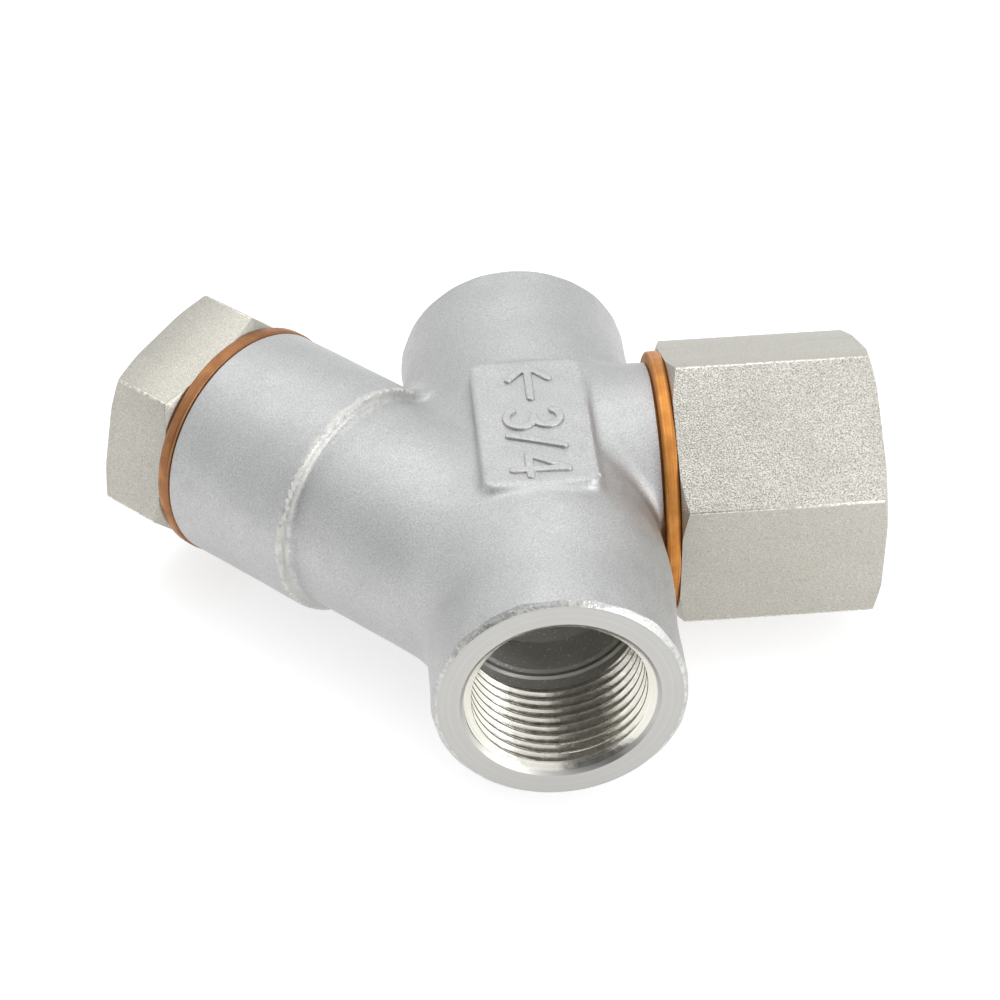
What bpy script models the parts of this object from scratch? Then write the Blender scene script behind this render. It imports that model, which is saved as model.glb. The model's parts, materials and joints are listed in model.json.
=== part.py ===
"""Y strainer with a thermostatic trap cap, as separate closed solids.

The run lies along Y and lets the flow out at +Y, the cap's boss points along +X,
the screen's leg leaves the run at 45 degrees towards -X +Y, and +Z is up.
"""
import math

import bmesh
import bpy
from mathutils import Matrix, Vector

# ---- driving dimensions, in metres unless a name says otherwise -------------------------
OBJECT_NAME = "y_strainer"
GAP = 0.0003                    # left between pieces that touch
ROUND_STEPS = 64                # sides of a large turned piece
SMALL_STEPS = 32                # sides of a small turned piece
UP = Vector((0.0, 0.0, 1.0))

# the run between the two threaded ports
RUN_CENTRE = Vector((0.00697, -0.00277, 0.02184))   # puts the base's middle at the origin
RUN_HALF_LENGTH = 0.040
RUN_RADIUS = 0.0175
RUN_CHAMFER = 0.0009

# the ports, for a G 3/4 pipe thread
PORT_MOUTH_RADIUS = 0.01375
PORT_BORE_RADIUS = 0.01225
PORT_RELIEF_RADIUS = 0.0133
PORT_RELIEF_LENGTH = 0.0025
INLET_DEPTH = 0.020
OUTLET_DEPTH = 0.0175
INLET_PASSAGE_RADIUS = 0.0121
INLET_PASSAGE_END = -0.012
OUTLET_PASSAGE_RADIUS = 0.009
OUTLET_PASSAGE_END = 0.0198

# the screen's leg
LEG_START = Vector((0.0, -0.018, 0.0))
LEG_DIRECTION = Vector((-1.0, 1.0, 0.0)).normalized()
LEG_NECK_RADIUS = 0.0162
LEG_COLLAR_RADIUS = 0.0178
LEG_STEP_START = 0.032
LEG_STEP_END = 0.0355
LEG_FACE = 0.058
LEG_PASSAGE_RADIUS = 0.0092
LEG_SEAT = 0.012
LEG_CHAMBER_RADIUS = 0.0132
LEG_THREAD_RADIUS = 0.0149
LEG_THREAD_START = 0.046

# the cap's boss
BOSS_START = Vector((0.0, 0.0073, 0.0))
BOSS_DIRECTION = Vector((1.0, 0.0, 0.0))
BOSS_RADIUS = 0.0176
BOSS_FACE = 0.01805
BOSS_FLOOR = 0.0075
BOSS_CHAMBER_RADIUS = 0.011
BOSS_THREAD_RADIUS = 0.0139
BOSS_THREAD_START = 0.0095

# the raised pad on top of the run
PAD_LOW = Vector((-0.0083, -0.0155, 0.010))
PAD_HIGH = Vector((0.0083, 0.0146, 0.0184))
PAD_CORNER = 0.002

# the plug, its gasket and the screen, as heights along the leg
PLUG_FLATS = 0.034
PLUG_TURN = math.radians(14.6)
PLUG_HEX_START = 0.0601
PLUG_HEX_END = 0.0718
PLUG_SPIGOT_RADIUS = 0.0146
PLUG_SPIGOT_START = 0.0465
PLUG_POCKET_RADIUS = 0.0129
PLUG_POCKET_END = 0.0563
HEX_CHAMFER_LENGTH = 0.0009
HEX_CHAMFER_DEPTH = 0.0021
PLUG_GASKET_RADIUS = 0.01805
PLUG_GASKET_HOLE = 0.0150
SCREEN_RADIUS = 0.0116
SCREEN_WALL = 0.0006
SCREEN_START = LEG_SEAT + GAP
SCREEN_END = 0.0560
SCREEN_RING_HOLE = SCREEN_RADIUS + GAP
SCREEN_RING_LENGTH = 0.003
INNER_RING_RADIUS = 0.0128
OUTER_RING_RADIUS = 0.0126
MESH_HOLE_RADIUS = 0.0013
MESH_HOLES_AROUND = 12
MESH_HOLE_ROWS = 8

# the cap and its gasket, as heights along the boss
CAP_FLATS = 0.038
CAP_TURN = math.radians(5.42)
CAP_HEX_START = 0.0201
CAP_HEX_END = 0.0496
CAP_SPIGOT_RADIUS = 0.0136
CAP_SPIGOT_START = 0.0098
CAP_CAVITY_RADIUS = 0.011
CAP_CAVITY_END = 0.044
CAP_GASKET_RADIUS = 0.01925
CAP_GASKET_HOLE = 0.0140

# the trap's valve and its stack of bimetal discs, as heights along the boss
SEAT_HOLE_RADIUS = 0.0042
SEAT_HOLE_END = 0.0015
HEAD_POCKET_RADIUS = 0.0032
HEAD_POCKET_END = -0.0015
OUTLET_DRILL_RADIUS = 0.003
OUTLET_DRILL_HEIGHT = 0.001
TRANSFER_RADIUS = 0.0022
TRANSFER_UP = 0.007
TRANSFER_BACK = 0.0048
TRANSFER_END = -0.009
SEAT_SHANK_RADIUS = 0.0039
SEAT_SHANK_END = 0.0029
SEAT_GASKET_TOP = 0.0086
SEAT_GASKET_RADIUS = 0.0065
SEAT_FLATS = 0.012
SEAT_TOP = 0.0124
SEAT_ORIFICE_RADIUS = 0.0019
STEM_RADIUS = 0.0014
STEM_END = 0.0416
HEAD_RADIUS = 0.0026
HEAD_LOW = -0.0010
HEAD_SHOULDER = 0.0002
HEAD_TOP = 0.0011
SLEEVE_HOLE_RADIUS = STEM_RADIUS + GAP
BASE_PLATE_RADIUS = 0.0085
BASE_PLATE_LENGTH = 0.001
DISC_COUNT = 8
DISC_RADIUS = 0.009
DISC_THICKNESS = 0.0006
DISC_DISH = 0.00055
STACK_WASHER_RADIUS = 0.0065
STACK_WASHER_LENGTH = 0.0012
SPRING_LENGTH = 0.0076
SPRING_COIL_RADIUS = 0.0043
SPRING_WIRE_RADIUS = 0.00045
SPRING_TURNS = 6
SPRING_POINTS_PER_TURN = 12
SPRING_WASHER_RADIUS = 0.006
SPRING_WASHER_LENGTH = 0.0008
NUT_FLATS = 0.008
ADJUSTING_NUT_LENGTH = 0.0022
LOCK_NUT_LENGTH = 0.0018

# colour, metallic, roughness
MATERIALS = {
    "cast_stainless": ((0.62, 0.62, 0.63), 1.0, 0.45),
    "machined_stainless": ((0.66, 0.65, 0.63), 1.0, 0.32),
    "copper": ((0.80, 0.46, 0.30), 1.0, 0.35),
    "screen_steel": ((0.60, 0.61, 0.62), 1.0, 0.38),
    "bimetal": ((0.56, 0.54, 0.50), 1.0, 0.36),
    "spring_steel": ((0.50, 0.50, 0.52), 1.0, 0.30),
}


# ---- scene helpers -----------------------------------------------------------------------
def clear_scene():
    for old in list(bpy.data.objects):
        bpy.data.objects.remove(old)


def new_collection(name):
    made = bpy.data.collections.new(name)
    bpy.context.scene.collection.children.link(made)
    return made


def make_material(name):
    colour, metallic, roughness = MATERIALS[name]
    made = bpy.data.materials.new(name)
    made.use_nodes = True
    shader = made.node_tree.nodes["Principled BSDF"]
    shader.inputs["Base Color"].default_value = (*colour, 1.0)
    shader.inputs["Metallic"].default_value = metallic
    shader.inputs["Roughness"].default_value = roughness
    return made


def axis_frame(name, start, direction):
    """An empty whose local Z is the axis and whose local X points up."""
    empty = bpy.data.objects.new(name, None)
    side = direction.cross(UP)
    turn = Matrix((UP, side, direction)).transposed().to_4x4()
    empty.matrix_world = Matrix.Translation(RUN_CENTRE + start) @ turn
    parts.objects.link(empty)
    return empty


def place(obj, frame, material=None):
    """Puts an object in the parts on an axis frame, or in the cutters without a material."""
    obj.parent = frame
    if material:
        obj.data.materials.append(materials[material])
        parts.objects.link(obj)
        return obj
    cutters.objects.link(obj)
    obj.hide_render = True
    obj.display_type = "WIRE"
    return obj


def mesh_object(name, bm):
    mesh = bpy.data.meshes.new(name)
    bm.to_mesh(mesh)
    bm.free()
    return bpy.data.objects.new(name, mesh)


def combine(obj, other, operation):
    step = obj.modifiers.new(f"{operation.lower()} {other.name}", "BOOLEAN")
    step.operation = operation
    step.object = other
    step.solver = "EXACT"


# ---- shapes ------------------------------------------------------------------------------
def turned(name, profile, frame, material=None, steps=ROUND_STEPS):
    """Turns (radius, height) points, given down the outer side, about the frame's axis."""
    bm = bmesh.new()
    points = [bm.verts.new((radius, 0.0, height)) for radius, height in profile]
    for first, second in zip(points, points[1:]):
        bm.edges.new((first, second))
    if profile[0][0] > 0.0:
        bm.edges.new((points[-1], points[0]))
    obj = mesh_object(name, bm)
    screw = obj.modifiers.new("turn", "SCREW")
    screw.steps = steps
    screw.render_steps = steps
    screw.use_merge_vertices = True
    screw.merge_threshold = 0.00001
    return place(obj, frame, material)


def washer(name, frame, material, hole, radius, low, high, steps=ROUND_STEPS):
    profile = [(radius, high), (radius, low), (hole, low), (hole, high)]
    return turned(name, profile, frame, material, steps)


def rod(name, frame, radius, low, high, side=(0.0, 0.0), steps=SMALL_STEPS):
    """A plain cylinder along the frame's axis, moved sideways, for a cutter."""
    bm = bmesh.new()
    at = Matrix.Translation((side[0], side[1], (low + high) / 2))
    bmesh.ops.create_cone(
        bm, cap_ends=True, segments=steps, radius1=radius, radius2=radius,
        depth=high - low, matrix=at,
    )
    return place(mesh_object(name, bm), frame)


def hexagon_bar(name, frame, flats, turn, low, high):
    """A hexagonal bar with a corner at turn from the frame's local X, for a cutter."""
    corner = flats / 2 / math.cos(math.pi / 6)
    at = Matrix.Rotation(turn, 4, "Z") @ Matrix.Translation((0, 0, (low + high) / 2))
    bm = bmesh.new()
    bmesh.ops.create_cone(
        bm, cap_ends=True, segments=6, radius1=corner, radius2=corner,
        depth=high - low, matrix=at @ Matrix.Rotation(math.pi / 2, 4, "Z"),
    )
    return place(mesh_object(name, bm), frame)


def cut_hexagon(obj, frame, flats, turn, low, high):
    """Cuts six flats onto a turned blank."""
    margin = 0.002
    bar = hexagon_bar(f"{obj.name}_flats", frame, flats, turn, low - margin, high + margin)
    combine(obj, bar, "INTERSECT")


def hexagon_side(flats, low, high):
    """The outer profile, top to bottom, of a hexagon's blank with both ends chamfered."""
    corner = flats / 2 / math.cos(math.pi / 6) + 0.0001
    face = corner - HEX_CHAMFER_DEPTH
    return [
        (face, high),
        (corner, high - HEX_CHAMFER_LENGTH),
        (corner, low + HEX_CHAMFER_LENGTH),
        (face, low),
    ]


# ---- the body ----------------------------------------------------------------------------
def make_pad():
    size = PAD_HIGH - PAD_LOW
    bm = bmesh.new()
    at = Matrix.Translation(RUN_CENTRE + (PAD_LOW + PAD_HIGH) / 2)
    bmesh.ops.create_cube(bm, size=1.0, matrix=at @ Matrix.Diagonal((*size, 1.0)))
    upright = [e for e in bm.edges if abs(e.verts[0].co.z - e.verts[1].co.z) > size.z / 2]
    bmesh.ops.bevel(bm, geom=upright, offset=PAD_CORNER, segments=4, affect="EDGES", profile=0.5)
    return place(mesh_object("pad_block", bm), None)


def port_cutter(name, side, depth, passage_radius, passage_end):
    """The hollow of a port: mouth, thread bore, run-out groove, ledge and passage."""
    face = RUN_HALF_LENGTH
    ledge = face - depth
    outside = 0.001
    mouth = PORT_MOUTH_RADIUS - PORT_BORE_RADIUS
    points = [
        (0.0, face + outside),
        (PORT_MOUTH_RADIUS + outside, face + outside),
        (PORT_BORE_RADIUS, face - mouth),
        (PORT_BORE_RADIUS, ledge + PORT_RELIEF_LENGTH),
        (PORT_RELIEF_RADIUS, ledge + PORT_RELIEF_LENGTH),
        (PORT_RELIEF_RADIUS, ledge),
        (passage_radius, ledge),
        (passage_radius, abs(passage_end)),
        (0.0, abs(passage_end)),
    ]
    if side < 0:
        points = [(radius, -height) for radius, height in reversed(points)]
    return turned(name, points, run_frame)


def leg_cutter():
    outside = 0.001
    mouth = 0.0005
    profile = [
        (0.0, LEG_FACE + outside),
        (LEG_THREAD_RADIUS + mouth + outside, LEG_FACE + outside),
        (LEG_THREAD_RADIUS, LEG_FACE - mouth),
        (LEG_THREAD_RADIUS, LEG_THREAD_START),
        (LEG_CHAMBER_RADIUS, LEG_THREAD_START),
        (LEG_CHAMBER_RADIUS, LEG_SEAT),
        (LEG_PASSAGE_RADIUS, LEG_SEAT),
        (LEG_PASSAGE_RADIUS, LEG_SEAT - 0.004),
        (LEG_PASSAGE_RADIUS - 0.0025, LEG_SEAT - 0.0075),
        (0.0, LEG_SEAT - 0.008),
    ]
    return turned("leg_hollow", profile, leg_frame)


def boss_cutter():
    outside = 0.001
    mouth = 0.0005
    profile = [
        (0.0, BOSS_FACE + outside),
        (BOSS_THREAD_RADIUS + mouth + outside, BOSS_FACE + outside),
        (BOSS_THREAD_RADIUS, BOSS_FACE - mouth),
        (BOSS_THREAD_RADIUS, BOSS_THREAD_START),
        (BOSS_CHAMBER_RADIUS, BOSS_THREAD_START),
        (BOSS_CHAMBER_RADIUS, BOSS_FLOOR),
        (0.0, BOSS_FLOOR),
    ]
    return turned("boss_hollow", profile, boss_frame)


def valve_cutters():
    """The seat's hole, the head's pocket, the outlet drilling and two transfer holes."""
    above = BOSS_FLOOR + 0.0005
    holes = [
        rod("seat_hole", boss_frame, SEAT_HOLE_RADIUS, SEAT_HOLE_END, above),
        rod("head_pocket", boss_frame, HEAD_POCKET_RADIUS, HEAD_POCKET_END, SEAT_HOLE_END + GAP),
        rod(
            "outlet_drilling", run_frame, OUTLET_DRILL_RADIUS, BOSS_START.y,
            OUTLET_PASSAGE_END + GAP, side=(0.0, OUTLET_DRILL_HEIGHT),
        ),
    ]
    for number, up in enumerate((TRANSFER_UP, -TRANSFER_UP), 1):
        holes.append(
            rod(
                f"transfer_hole_{number}", boss_frame, TRANSFER_RADIUS, TRANSFER_END, above,
                side=(up, TRANSFER_BACK),
            )
        )
    return holes


def make_body():
    end = RUN_HALF_LENGTH
    rim = RUN_RADIUS - RUN_CHAMFER
    body = turned(
        "body",
        [
            (0.0, end),
            (rim, end),
            (RUN_RADIUS, end - RUN_CHAMFER),
            (RUN_RADIUS, RUN_CHAMFER - end),
            (rim, -end),
            (0.0, -end),
        ],
        run_frame,
        "cast_stainless",
    )
    leg = turned(
        "leg_block",
        [
            (0.0, LEG_FACE),
            (LEG_COLLAR_RADIUS, LEG_FACE),
            (LEG_COLLAR_RADIUS, LEG_STEP_END),
            (LEG_NECK_RADIUS, LEG_STEP_START),
            (LEG_NECK_RADIUS, 0.004),
            (0.0, 0.004),
        ],
        leg_frame,
    )
    boss = turned(
        "boss_block",
        [
            (0.0, BOSS_FACE),
            (BOSS_RADIUS, BOSS_FACE),
            (BOSS_RADIUS, 0.006),
            (BOSS_RADIUS - 0.0004, 0.001),
            (0.0, 0.001),
        ],
        boss_frame,
    )
    for block in (leg, boss, make_pad()):
        combine(body, block, "UNION")
    hollows = [
        port_cutter("inlet_hollow", -1, INLET_DEPTH, INLET_PASSAGE_RADIUS, INLET_PASSAGE_END),
        port_cutter("outlet_hollow", 1, OUTLET_DEPTH, OUTLET_PASSAGE_RADIUS, OUTLET_PASSAGE_END),
        leg_cutter(),
        boss_cutter(),
    ]
    for hollow in hollows + valve_cutters():
        combine(body, hollow, "DIFFERENCE")


# ---- the screen's leg --------------------------------------------------------------------
def make_plug():
    profile = [(0.0, PLUG_HEX_END)]
    profile += hexagon_side(PLUG_FLATS, PLUG_HEX_START, PLUG_HEX_END)
    profile += [
        (PLUG_SPIGOT_RADIUS, PLUG_HEX_START),
        (PLUG_SPIGOT_RADIUS, PLUG_SPIGOT_START),
        (PLUG_POCKET_RADIUS, PLUG_SPIGOT_START),
        (PLUG_POCKET_RADIUS, PLUG_POCKET_END),
        (0.0, PLUG_POCKET_END),
    ]
    plug = turned("strainer_plug", profile, leg_frame, "machined_stainless")
    cut_hexagon(plug, leg_frame, PLUG_FLATS, PLUG_TURN, PLUG_SPIGOT_START, PLUG_HEX_END)
    washer(
        "plug_gasket", leg_frame, "copper", PLUG_GASKET_HOLE, PLUG_GASKET_RADIUS,
        LEG_FACE + GAP, PLUG_HEX_START - GAP,
    )


def mesh_hole_cutter():
    """Rows of short radial rods that punch the screen, every other row turned by half a step."""
    bm = bmesh.new()
    rows_low = SCREEN_START + SCREEN_RING_LENGTH + 0.004
    rows_high = PLUG_SPIGOT_START
    spacing = (rows_high - rows_low) / (MESH_HOLE_ROWS - 1)
    for row in range(MESH_HOLE_ROWS):
        for place_around in range(MESH_HOLES_AROUND):
            angle = 2 * math.pi * (place_around + (row % 2) / 2) / MESH_HOLES_AROUND
            at = Matrix.Translation((0, 0, rows_low + row * spacing))
            at = at @ Matrix.Rotation(angle, 4, "Z") @ Matrix.Translation((SCREEN_RADIUS, 0, 0))
            bmesh.ops.create_cone(
                bm, cap_ends=True, segments=8, radius1=MESH_HOLE_RADIUS,
                radius2=MESH_HOLE_RADIUS, depth=0.004,
                matrix=at @ Matrix.Rotation(math.pi / 2, 4, "Y"),
            )
    return place(mesh_object("screen_holes", bm), leg_frame)


def make_screen():
    screen = washer(
        "strainer_screen", leg_frame, "screen_steel", SCREEN_RADIUS - SCREEN_WALL,
        SCREEN_RADIUS, SCREEN_START, SCREEN_END, steps=48,
    )
    combine(screen, mesh_hole_cutter(), "DIFFERENCE")
    washer(
        "screen_inner_ring", leg_frame, "screen_steel", SCREEN_RING_HOLE, INNER_RING_RADIUS,
        SCREEN_START, SCREEN_START + SCREEN_RING_LENGTH,
    )
    washer(
        "screen_outer_ring", leg_frame, "screen_steel", SCREEN_RING_HOLE, OUTER_RING_RADIUS,
        SCREEN_END - SCREEN_RING_LENGTH, SCREEN_END,
    )


# ---- the cap -----------------------------------------------------------------------------
def make_cap():
    profile = [(0.0, CAP_HEX_END)]
    profile += hexagon_side(CAP_FLATS, CAP_HEX_START, CAP_HEX_END)
    profile += [
        (CAP_SPIGOT_RADIUS, CAP_HEX_START),
        (CAP_SPIGOT_RADIUS, CAP_SPIGOT_START),
        (CAP_CAVITY_RADIUS, CAP_SPIGOT_START),
        (CAP_CAVITY_RADIUS, CAP_CAVITY_END),
        (0.0, CAP_CAVITY_END),
    ]
    cap = turned("trap_cap", profile, boss_frame, "machined_stainless")
    cut_hexagon(cap, boss_frame, CAP_FLATS, CAP_TURN, CAP_SPIGOT_START, CAP_HEX_END)
    washer(
        "cap_gasket", boss_frame, "copper", CAP_GASKET_HOLE, CAP_GASKET_RADIUS,
        BOSS_FACE + GAP, CAP_HEX_START - GAP,
    )


# ---- the trap's inside -------------------------------------------------------------------
def make_seat():
    collar = SEAT_GASKET_TOP + GAP
    corner = SEAT_FLATS / 2 / math.cos(math.pi / 6) + 0.0001
    profile = [
        (corner, SEAT_TOP),
        (corner, collar),
        (SEAT_SHANK_RADIUS, collar),
        (SEAT_SHANK_RADIUS, SEAT_SHANK_END),
        (SEAT_ORIFICE_RADIUS, SEAT_SHANK_END),
        (SEAT_ORIFICE_RADIUS, SEAT_TOP),
    ]
    seat = turned("valve_seat", profile, boss_frame, "machined_stainless", SMALL_STEPS)
    cut_hexagon(seat, boss_frame, SEAT_FLATS, 0.0, SEAT_SHANK_END, SEAT_TOP)
    washer(
        "seat_gasket", boss_frame, "copper", SEAT_HOLE_RADIUS, SEAT_GASKET_RADIUS,
        BOSS_FLOOR + GAP, SEAT_GASKET_TOP, SMALL_STEPS,
    )


def make_stem():
    profile = [
        (0.0, STEM_END),
        (STEM_RADIUS, STEM_END),
        (STEM_RADIUS, HEAD_TOP),
        (HEAD_RADIUS, HEAD_SHOULDER),
        (HEAD_RADIUS, HEAD_LOW),
        (0.0, HEAD_LOW),
    ]
    turned("valve_stem", profile, boss_frame, "machined_stainless", SMALL_STEPS)


def make_disc(number, low, cupped_up):
    """One dished disc: its rim is high if it is cupped up, and its hole is high if not."""
    rim, hole = (low + DISC_DISH, low) if cupped_up else (low, low + DISC_DISH)
    profile = [
        (DISC_RADIUS, rim + DISC_THICKNESS),
        (DISC_RADIUS, rim),
        (SLEEVE_HOLE_RADIUS, hole),
        (SLEEVE_HOLE_RADIUS, hole + DISC_THICKNESS),
    ]
    turned(f"bimetal_disc_{number}", profile, boss_frame, "bimetal", SMALL_STEPS)


def make_spring(low):
    first = low + SPRING_WIRE_RADIUS
    climb = SPRING_LENGTH - 2 * SPRING_WIRE_RADIUS
    count = SPRING_TURNS * SPRING_POINTS_PER_TURN
    curve = bpy.data.curves.new("overload_spring", "CURVE")
    curve.dimensions = "3D"
    spline = curve.splines.new("POLY")
    spline.points.add(count)
    for step, point in enumerate(spline.points):
        angle = 2 * math.pi * step / SPRING_POINTS_PER_TURN
        across = SPRING_COIL_RADIUS * math.cos(angle)
        along = SPRING_COIL_RADIUS * math.sin(angle)
        point.co = (across, along, first + climb * step / count, 1.0)
    curve.bevel_depth = SPRING_WIRE_RADIUS
    curve.bevel_resolution = 2
    curve.use_fill_caps = True
    place(bpy.data.objects.new("overload_spring", curve), boss_frame, "spring_steel")


def make_nut(name, low, length):
    corner = NUT_FLATS / 2 / math.cos(math.pi / 6) + 0.0001
    nut = washer(
        name, boss_frame, "machined_stainless", SLEEVE_HOLE_RADIUS, corner, low, low + length,
        SMALL_STEPS,
    )
    cut_hexagon(nut, boss_frame, NUT_FLATS, 0.0, low, low + length)


def make_stack():
    """Everything threaded on the stem, each piece on top of the one before."""
    low = SEAT_TOP + GAP
    washer(
        "base_plate", boss_frame, "machined_stainless", SLEEVE_HOLE_RADIUS, BASE_PLATE_RADIUS,
        low, low + BASE_PLATE_LENGTH, SMALL_STEPS,
    )
    low += BASE_PLATE_LENGTH + GAP
    for number in range(1, DISC_COUNT + 1):
        make_disc(number, low, cupped_up=number % 2 == 1)
        low += DISC_THICKNESS + DISC_DISH + GAP
    washer(
        "stack_washer", boss_frame, "machined_stainless", SLEEVE_HOLE_RADIUS,
        STACK_WASHER_RADIUS, low, low + STACK_WASHER_LENGTH, SMALL_STEPS,
    )
    low += STACK_WASHER_LENGTH + GAP
    make_spring(low)
    low += SPRING_LENGTH + GAP
    washer(
        "spring_washer", boss_frame, "machined_stainless", SLEEVE_HOLE_RADIUS,
        SPRING_WASHER_RADIUS, low, low + SPRING_WASHER_LENGTH, SMALL_STEPS,
    )
    low += SPRING_WASHER_LENGTH + GAP
    make_nut("adjusting_nut", low, ADJUSTING_NUT_LENGTH)
    make_nut("lock_nut", low + ADJUSTING_NUT_LENGTH + GAP, LOCK_NUT_LENGTH)


def shade_round_pieces():
    for obj in parts.objects:
        if obj.type == "MESH":
            obj.data.shade_smooth()
            obj.data.set_sharp_from_angle(angle=math.radians(30))


clear_scene()
parts = new_collection(OBJECT_NAME)
cutters = new_collection("cutters")
materials = {name: make_material(name) for name in MATERIALS}
run_frame = axis_frame("run_frame", Vector(), Vector((0.0, 1.0, 0.0)))
leg_frame = axis_frame("leg_frame", LEG_START, LEG_DIRECTION)
boss_frame = axis_frame("boss_frame", BOSS_START, BOSS_DIRECTION)
make_body()
make_plug()
make_screen()
make_cap()
make_seat()
make_stem()
make_stack()
shade_round_pieces()
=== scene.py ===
"""A stainless Y strainer with a thermostatic trap's cap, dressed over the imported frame.

Shapes are worked in millimetres from the middle of the run: +Y to the outlet, +X to the tall
cap, +Z up. Each finished piece is brought to metres and put on the frame at the end.
"""
import json
import math

import bmesh
import bpy
import numpy as np
from mathutils import Matrix, Vector


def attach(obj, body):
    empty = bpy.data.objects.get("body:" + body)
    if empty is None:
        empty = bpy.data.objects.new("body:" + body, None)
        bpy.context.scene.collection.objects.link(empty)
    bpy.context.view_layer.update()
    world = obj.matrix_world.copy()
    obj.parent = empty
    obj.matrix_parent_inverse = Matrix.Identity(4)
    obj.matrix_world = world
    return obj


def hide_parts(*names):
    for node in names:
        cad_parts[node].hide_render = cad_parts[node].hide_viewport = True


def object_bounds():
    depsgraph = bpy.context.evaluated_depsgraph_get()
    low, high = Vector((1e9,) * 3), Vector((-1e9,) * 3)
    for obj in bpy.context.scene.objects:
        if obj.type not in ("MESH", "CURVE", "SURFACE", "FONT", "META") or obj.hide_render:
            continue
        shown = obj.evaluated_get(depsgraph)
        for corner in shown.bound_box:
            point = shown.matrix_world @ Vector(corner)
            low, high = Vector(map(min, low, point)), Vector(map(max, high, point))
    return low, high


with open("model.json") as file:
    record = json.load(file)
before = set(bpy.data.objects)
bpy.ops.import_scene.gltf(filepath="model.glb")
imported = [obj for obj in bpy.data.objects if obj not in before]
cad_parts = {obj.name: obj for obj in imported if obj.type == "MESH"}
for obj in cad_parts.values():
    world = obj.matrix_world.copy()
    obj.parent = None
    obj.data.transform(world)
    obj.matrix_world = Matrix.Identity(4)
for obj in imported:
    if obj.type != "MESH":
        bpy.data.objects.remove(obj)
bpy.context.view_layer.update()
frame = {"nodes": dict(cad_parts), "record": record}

MM = 0.001
UP = Vector((0.0, 0.0, 1.0))
SEAL = 0.3                      # the frame leaves this much between faces that touch
SPARE = 1.5                     # what a casting has to spare on each face before it is turned
PAST = 1.0                      # how far a tool reaches past the face it cuts into
SIXTH_TURN, TWELFTH_TURN = math.pi / 3, math.pi / 6

# ---- where things are, from the frame
joints = {joint["name"]: joint for joint in frame["record"]["behaviour"]["joints"]}
mounts = {mount["name"]: mount for mount in frame["record"]["mounts"]}
inlet_face = Vector(mounts["inlet_face"]["pos_m"])
outlet_face = Vector(mounts["outlet_face"]["pos_m"])
cap_point = Vector(joints["cap_turn"]["pos_m"])
plug_point = Vector(joints["plug_turn"]["pos_m"])
plug_way = Vector(joints["plug_turn"]["axis"]).normalized()
run_centre = Vector((inlet_face.x, (inlet_face.y + outlet_face.y) / 2, cap_point.z))
RUN_HALF = (outlet_face.y - inlet_face.y) / 2 / MM


def axis_frame(start, way):
    """Puts local Z along an axis and local X upwards, in millimetres from the run's middle."""
    turn = Matrix((UP, way.cross(UP), way)).transposed().to_4x4()
    return Matrix.Translation(start) @ turn


def heights(node, axis, spare=0.0):
    """How far along an axis a node of the frame reaches, in millimetres, with some to spare."""
    shape = frame["nodes"][node].data
    along = [(axis.inverted() @ ((v.co - run_centre) / MM)).z for v in shape.vertices]
    return min(along) - spare, max(along) + spare


leg_start = plug_point - plug_way * (plug_point.x - run_centre.x) / plug_way.x
run_axis = axis_frame(Vector(), Vector((0.0, 1.0, 0.0)))
inlet_axis = run_axis @ Matrix.Rotation(math.pi, 4, "X")
leg_axis = axis_frame((leg_start - run_centre) / MM, plug_way)
boss_axis = axis_frame(Vector((0.0, (cap_point.y - run_centre.y) / MM, 0.0)), Vector((1.0, 0.0, 0.0)))
own_axis = Matrix.Identity(4)   # a piece's own Z

LEG_FACE, PLUG_FACE = heights("plug_gasket", leg_axis, SEAL)
PLUG_SPIGOT, PLUG_END = heights("strainer_plug", leg_axis)
BOSS_FACE, CAP_FACE = heights("cap_gasket", boss_axis, SEAL)
CAP_SPIGOT, CAP_END = heights("trap_cap", boss_axis)
SCREEN_LOW, SCREEN_HIGH = heights("strainer_screen", leg_axis)

# ---- sizes, in millimetres
RUN_RADIUS = 17.5
RIM_CHAMFER = 0.7
LEG_NECK_RADIUS = 16.2
LEG_COLLAR_RADIUS = 17.8
COLLAR_START = 35.0
BOSS_RADIUS = 17.6
PAD_LOW = (-8.3, -15.5, 8.0)
PAD_HIGH = (8.3, 14.6, 18.4)

PORT_MOUTH = 13.75
PIPE_MAJOR, PIPE_MINOR, PIPE_PITCH = 13.22, 12.06, 1.814
RELIEF_RADIUS, RELIEF_LENGTH = 13.4, 2.6
INLET_DEPTH, INLET_PASSAGE, INLET_PASSAGE_END = 20.0, 12.1, 12.0
OUTLET_DEPTH, OUTLET_PASSAGE, OUTLET_PASSAGE_END = 17.5, 9.0, 19.8

CHAMBER_SEAT, CHAMBER_RADIUS, LEG_THREAD_START = 12.0, 13.2, 46.0
BOSS_FLOOR, BOSS_CHAMBER, BOSS_THREAD_START = 7.5, 11.0, 9.5
SEAT_HOLE, STEM_HOLE, OUTLET_DRILL, TRAP_INLET = 4.2, 3.2, 3.0, 2.2
SEAT_HOLE_END, STEM_HOLE_END, TRAP_INLET_END = 1.5, -1.5, -9.0
TRAP_INLET_ASIDE, TRAP_INLET_OUT = 7.0, 4.8

CLOSURE_PITCH = 1.5
PLUG_MAJOR, PLUG_MINOR = 15.0, 14.15
CAP_MAJOR, CAP_MINOR = 14.0, 13.15
THREAD_PLAY = 0.12
PLUG_FLATS, PLUG_TURN = 34.0, math.radians(14.6)
CAP_FLATS, CAP_TURN = 38.0, math.radians(5.42)
PLUG_GASKET_HOLE, PLUG_GASKET_RADIUS = 15.05, 18.05
CAP_GASKET_HOLE, CAP_GASKET_RADIUS = 14.05, 19.25
PLUG_POCKET, PLUG_POCKET_END = 12.9, 56.3
CAP_POCKET, CAP_POCKET_END = 11.0, 44.0

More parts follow.
